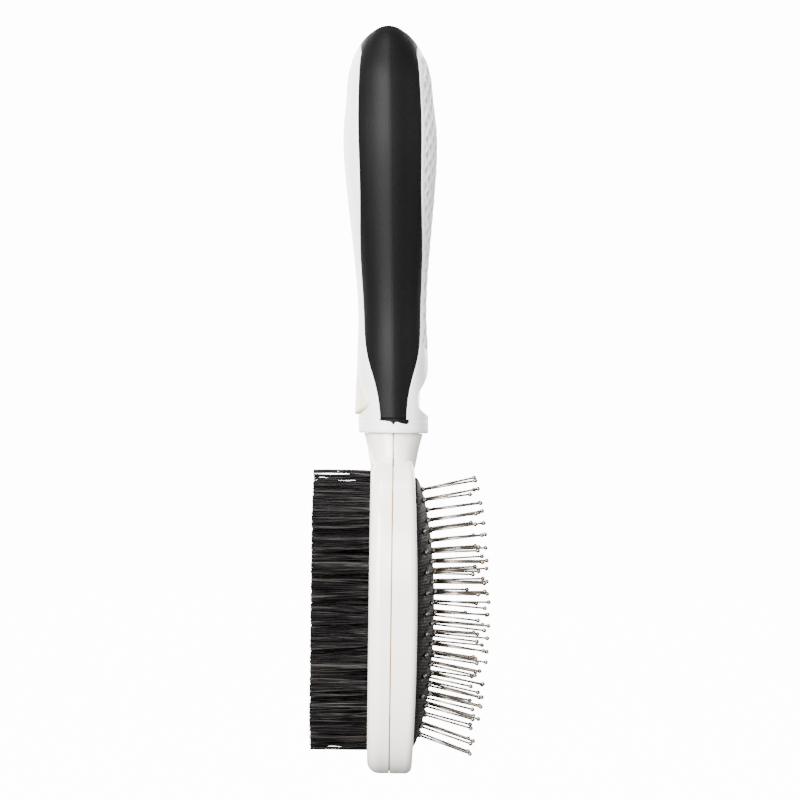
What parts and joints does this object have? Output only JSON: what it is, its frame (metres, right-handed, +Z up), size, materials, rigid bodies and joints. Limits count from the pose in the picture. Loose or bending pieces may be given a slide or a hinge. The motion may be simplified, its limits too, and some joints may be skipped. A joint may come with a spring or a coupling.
{
  "type": "double-sided pin and bristle brush",
  "caption": "Double-sided pet brush with a two-colour grip handle and a pull-off head: trimmed nylon tufts on one face, ball-tipped steel pins in a soft cushion on the other.",
  "frame": {"origin": "centre of the handle collar's lower face, on the head's parting plane, where the head meets the handle", "axes": "+Z up the handle, -X the bristle side, +X the pin side, Y across the width"},
  "size_m": [0.0537, 0.0552, 0.2239],
  "materials": {
    "white_shell": "satin moulded ABS, cool white",
    "grip_rubber": "fine matte moulded thermoplastic rubber, charcoal",
    "head_plastic": "glossy moulded ABS, warm white",
    "button_plastic": "smooth moulded acetal, cream",
    "cushion_cloth": "black twill bonded to rubber",
    "bristle_nylon": "black extruded nylon filament",
    "pin_steel": "polished nickel-plated steel wire",
    "anchor_steel": "plain flat wire"
  },
  "bodies": {
    "handle": {"handle_shell_bristle_side": "white_shell", "handle_shell_pin_side": "white_shell", "grip_bristle_side": "grip_rubber", "grip_pin_side": "grip_rubber", "handle_collar": "white_shell"},
    "head": {"head_shell_bristle_side": "head_plastic", "head_shell_pin_side": "head_plastic", "tuft_anchors": "anchor_steel", "tuft_column_1": "bristle_nylon", "tuft_column_2": "bristle_nylon", "tuft_column_3": "bristle_nylon", "tuft_column_4": "bristle_nylon", "tuft_column_5": "bristle_nylon", "tuft_column_6": "bristle_nylon", "tuft_column_7": "bristle_nylon", "cushion_pad": "cushion_cloth"},
    "button": {"release_button": "button_plastic"},
    "pins": {"pin_column_1": "pin_steel", "pin_column_2": "pin_steel", "pin_column_3": "pin_steel", "pin_column_4": "pin_steel", "pin_column_5": "pin_steel", "pin_column_6": "pin_steel", "pin_column_7": "pin_steel"}
  },
  "joints": [
    {"name": "head_slide", "type": "slide", "parent": "handle", "child": "head", "axis": [0, 0, -1], "range_m": [0, 0.045], "deforming": ["release_button"]},
    {"name": "button_press", "type": "hinge", "parent": "head", "child": "button", "pos_m": [-0.0061, 0, 0.034], "axis": [0, -1, 0], "range_deg": [0, 8], "stiffness_Nm_per_rad": 0.6},
    {"name": "cushion_give", "type": "slide", "parent": "head", "child": "pins", "axis": [-1, 0, 0], "range_m": [0, 0.0025], "stiffness_N_per_m": 4000, "deforming": ["cushion_pad"]}
  ]
}
